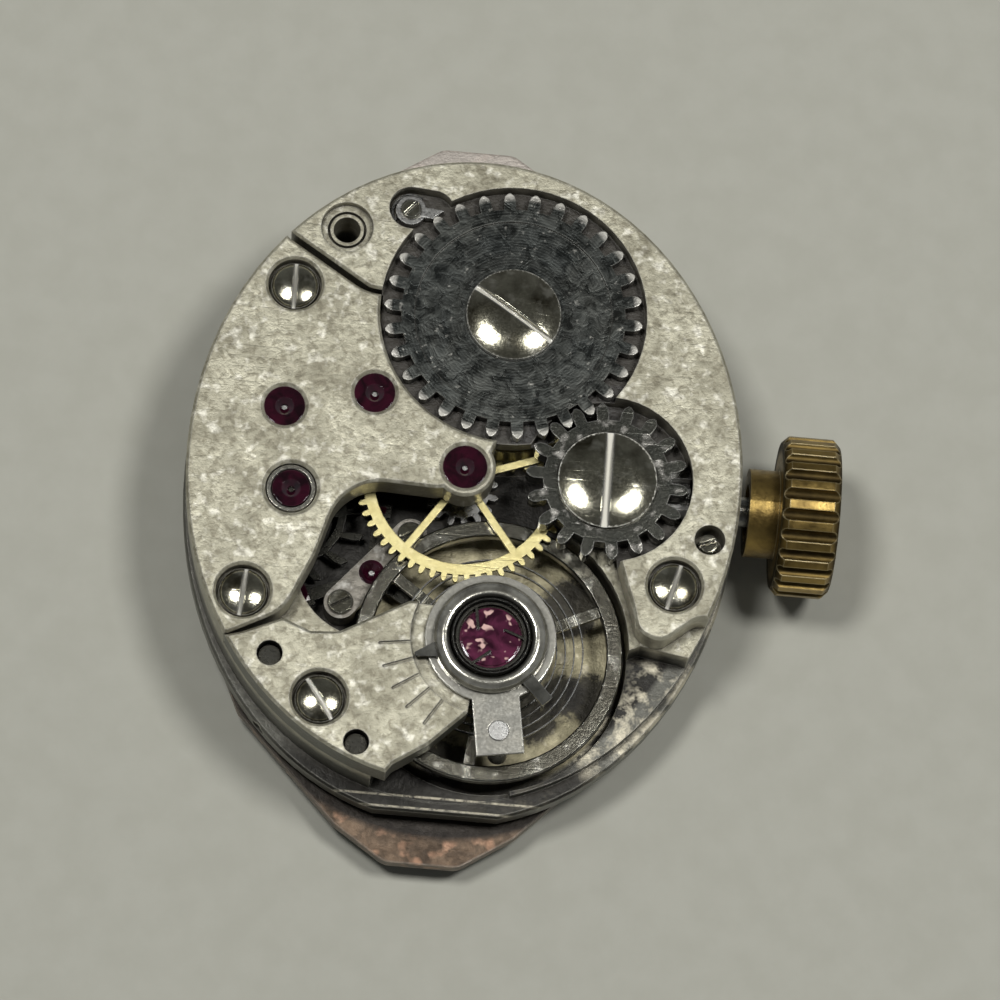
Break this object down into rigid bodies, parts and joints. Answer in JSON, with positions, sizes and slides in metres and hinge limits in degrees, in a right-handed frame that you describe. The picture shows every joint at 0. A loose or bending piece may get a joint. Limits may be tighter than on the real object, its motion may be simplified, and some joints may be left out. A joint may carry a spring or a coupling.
{
  "type": "mechanical watch movement",
  "caption": "Small oval hand-wound watch movement with winding crown, open ratchet and crown wheels, jewelled going train, lever escapement, balance and long faceted dial.",
  "frame": {"origin": "on the axis of the hands at the level of the dial's visible face", "axes": "+Z from the dial towards the bridges, +X along the winding stem towards the crown, +Y towards the barrel, along the dial's length"},
  "size_m": [0.0154, 0.0178, 0.004],
  "materials": {
    "frosted_nickel": "matt frosted, warm nickel plate",
    "steel": "ground steel",
    "polished_steel": "polished steel",
    "blued_black_steel": "dark blackened steel with bright edges",
    "train_brass": "pale gilt brass",
    "crown_gilt": "worn gilt",
    "ruby": "polished stone",
    "balance_metal": "satin alloy",
    "spring_steel": "fine drawn steel",
    "dial_metal": "lacquered face, tarnished back",
    "gasket_rubber": "matt"
  },
  "bodies": {
    "movement": {"balance_cock": "frosted_nickel", "barrel_bridge": "frosted_nickel", "bridge_jewels": "ruby", "bridge_screws": "polished_steel", "click_spring": "spring_steel", "crown_wheel_screw": "polished_steel", "dial": "dial_metal", "escape_chaton": "steel", "lower_shock": "polished_steel", "main_plate": "frosted_nickel", "pallet_bridge": "frosted_nickel", "plate_jewels": "ruby", "plate_pins": "steel", "setting_jumper": "steel", "setting_lever_screw": "steel", "shock_block": "polished_steel", "shock_jewels": "ruby", "shock_spring": "train_brass", "small_screws": "polished_steel", "train_bridge": "frosted_nickel", "yoke_spring": "spring_steel"},
    "crown_slide": {"crown_gasket": "gasket_rubber"},
    "winding_stem": {"stem": "steel", "crown": "crown_gilt"},
    "clutch": {"sliding_pinion": "steel"},
    "winding_gear": {"winding_pinion": "steel"},
    "crown_gear": {"crown_wheel": "steel"},
    "ratchet": {"ratchet_wheel": "blued_black_steel", "ratchet_screw": "polished_steel", "barrel_arbor": "steel"},
    "click_arm": {"click": "steel"},
    "going_barrel": {"barrel_drum": "train_brass", "barrel_cover": "train_brass", "mainspring": "spring_steel"},
    "center_arbor": {"center_wheel": "train_brass", "center_pinion": "steel", "cannon_pinion": "steel"},
    "third_arbor": {"third_wheel": "train_brass", "third_pinion": "steel"},
    "fourth_arbor": {"fourth_wheel": "train_brass", "fourth_pinion": "steel"},
    "escape_arbor": {"escape_wheel": "polished_steel", "escape_pinion": "steel"},
    "pallets": {"pallet_fork": "polished_steel", "pallet_stones": "ruby", "pallet_staff": "steel"},
    "balance": {"balance_wheel": "balance_metal", "balance_staff": "steel", "roller": "steel", "impulse_jewel": "ruby", "collet": "train_brass"},
    "stud_arm": {"stud_carrier": "polished_steel", "stud": "polished_steel", "hairspring": "spring_steel"},
    "regulator_arm": {"regulator": "polished_steel"},
    "setting_arm": {"setting_lever": "steel"},
    "yoke_arm": {"yoke": "steel"},
    "setting_gear": {"setting_wheel": "steel"},
    "minute_gear": {"minute_wheel": "train_brass"},
    "hour_gear": {"hour_wheel": "train_brass"}
  },
  "joints": [
    {"name": "crown_pull", "type": "slide", "parent": "movement", "child": "crown_slide", "axis": [1, 0, 0], "range_m": [0, 0.0006]},
    {"name": "crown_turn", "type": "hinge", "parent": "crown_slide", "child": "winding_stem", "pos_m": [0.008, 0, 0.00155], "axis": [1, 0, 0], "continuous": true},
    {"name": "clutch_slide", "type": "slide", "parent": "winding_stem", "child": "clutch", "axis": [1, 0, 0], "range_m": [-0.0011, 0]},
    {"name": "winding_pinion_turn", "type": "hinge", "parent": "movement", "child": "winding_gear", "pos_m": [0.005, 0, 0.00155], "axis": [1, 0, 0], "continuous": true},
    {"name": "crown_wheel_turn", "type": "hinge", "parent": "movement", "child": "crown_gear", "pos_m": [0.00334, 0, 0.0015], "axis": [0, 0, 1], "continuous": true},
    {"name": "ratchet_turn", "type": "hinge", "parent": "movement", "child": "ratchet", "pos_m": [0.00085, 0.00386, 0.0015], "axis": [0, 0, 1], "continuous": true},
    {"name": "click_lift", "type": "hinge", "parent": "movement", "child": "click_arm", "pos_m": [-0.00177, 0.00628, 0.0015], "axis": [0, 0, 1], "range_deg": [0, 10]},
    {"name": "fourth_turn", "type": "hinge", "parent": "movement", "child": "fourth_arbor", "pos_m": [-0.00432, 0.0011, 0.0015], "axis": [0, 0, 1], "continuous": true},
    {"name": "third_turn", "type": "hinge", "parent": "movement", "child": "third_arbor", "pos_m": [-0.00225, 0.00162, 0.0015], "axis": [0, 0, 1], "continuous": true},
    {"name": "center_turn", "type": "hinge", "parent": "movement", "child": "center_arbor", "pos_m": [0, 0, 0.0015], "axis": [0, 0, 1], "continuous": true},
    {"name": "barrel_turn", "type": "hinge", "parent": "movement", "child": "going_barrel", "pos_m": [0.00085, 0.00386, 0.0015], "axis": [0, 0, 1], "continuous": true},
    {"name": "escape_turn", "type": "hinge", "parent": "movement", "child": "escape_arbor", "pos_m": [-0.004, -0.00088, 0.0015], "axis": [0, 0, 1], "continuous": true},
    {"name": "minute_wheel_turn", "type": "hinge", "parent": "movement", "child": "minute_gear", "pos_m": [0.00127, -0.00089, 0.0006], "axis": [0, 0, 1], "continuous": true},
    {"name": "hour_wheel_turn", "type": "hinge", "parent": "movement", "child": "hour_gear", "pos_m": [0, 0, 0.0005], "axis": [0, 0, 1], "continuous": true},
    {"name": "setting_wheel_turn", "type": "hinge", "parent": "movement", "child": "setting_gear", "pos_m": [0.00229, 0.00052, 0.0006], "axis": [0, 0, 1], "continuous": true},
    {"name": "pallet_swing", "type": "hinge", "parent": "movement", "child": "pallets", "pos_m": [-0.00196, -0.00231, 0.0015], "axis": [0, 0, 1], "range_deg": [-5, 5]},
    {"name": "balance_swing", "type": "hinge", "parent": "movement", "child": "balance", "pos_m": [0.00091, -0.00406, 0.0015], "axis": [0, 0, 1], "range_deg": [-270, 270]},
    {"name": "regulator_swing", "type": "hinge", "parent": "movement", "child": "regulator_arm", "pos_m": [0.00091, -0.00406, 0.0032], "axis": [0, 0, 1], "range_deg": [-10, 10]},
    {"name": "stud_carrier_swing", "type": "hinge", "parent": "movement", "child": "stud_arm", "pos_m": [0.00091, -0.00406, 0.0031], "axis": [0, 0, 1], "range_deg": [-6, 6]},
    {"name": "setting_lever_swing", "type": "hinge", "parent": "movement", "child": "setting_arm", "pos_m": [0.00582, -0.00127, 0.0006], "axis": [0, 0, 1], "range_deg": [-27.26, 0]},
    {"name": "yoke_swing", "type": "hinge", "parent": "movement", "child": "yoke_arm", "pos_m": [0.0035, 0.00235, 0.0006], "axis": [0, 0, 1], "range_deg": [-11.97, 0]}
  ],
  "couplings": [
    {"joint": "clutch_slide", "follows": "crown_pull", "ratio": -1.8333},
    {"joint": "winding_pinion_turn", "follows": "crown_turn", "ratio": 1},
    {"joint": "crown_wheel_turn", "follows": "crown_turn", "ratio": -0.77778},
    {"joint": "ratchet_turn", "follows": "crown_turn", "ratio": 0.46667},
    {"joint": "third_turn", "follows": "fourth_turn", "ratio": -0.13333},
    {"joint": "center_turn", "follows": "fourth_turn", "ratio": 0.016667},
    {"joint": "barrel_turn", "follows": "fourth_turn", "ratio": -0.0041667},
    {"joint": "escape_turn", "follows": "fourth_turn", "ratio": -12},
    {"joint": "minute_wheel_turn", "follows": "fourth_turn", "ratio": -0.0055556},
    {"joint": "hour_wheel_turn", "follows": "fourth_turn", "ratio": 0.0013889},
    {"joint": "setting_wheel_turn", "follows": "fourth_turn", "ratio": 0.011111},
    {"joint": "setting_lever_swing", "follows": "crown_pull", "rad_per_m": -792.96},
    {"joint": "yoke_swing", "follows": "crown_pull", "rad_per_m": -348.19}
  ]
}
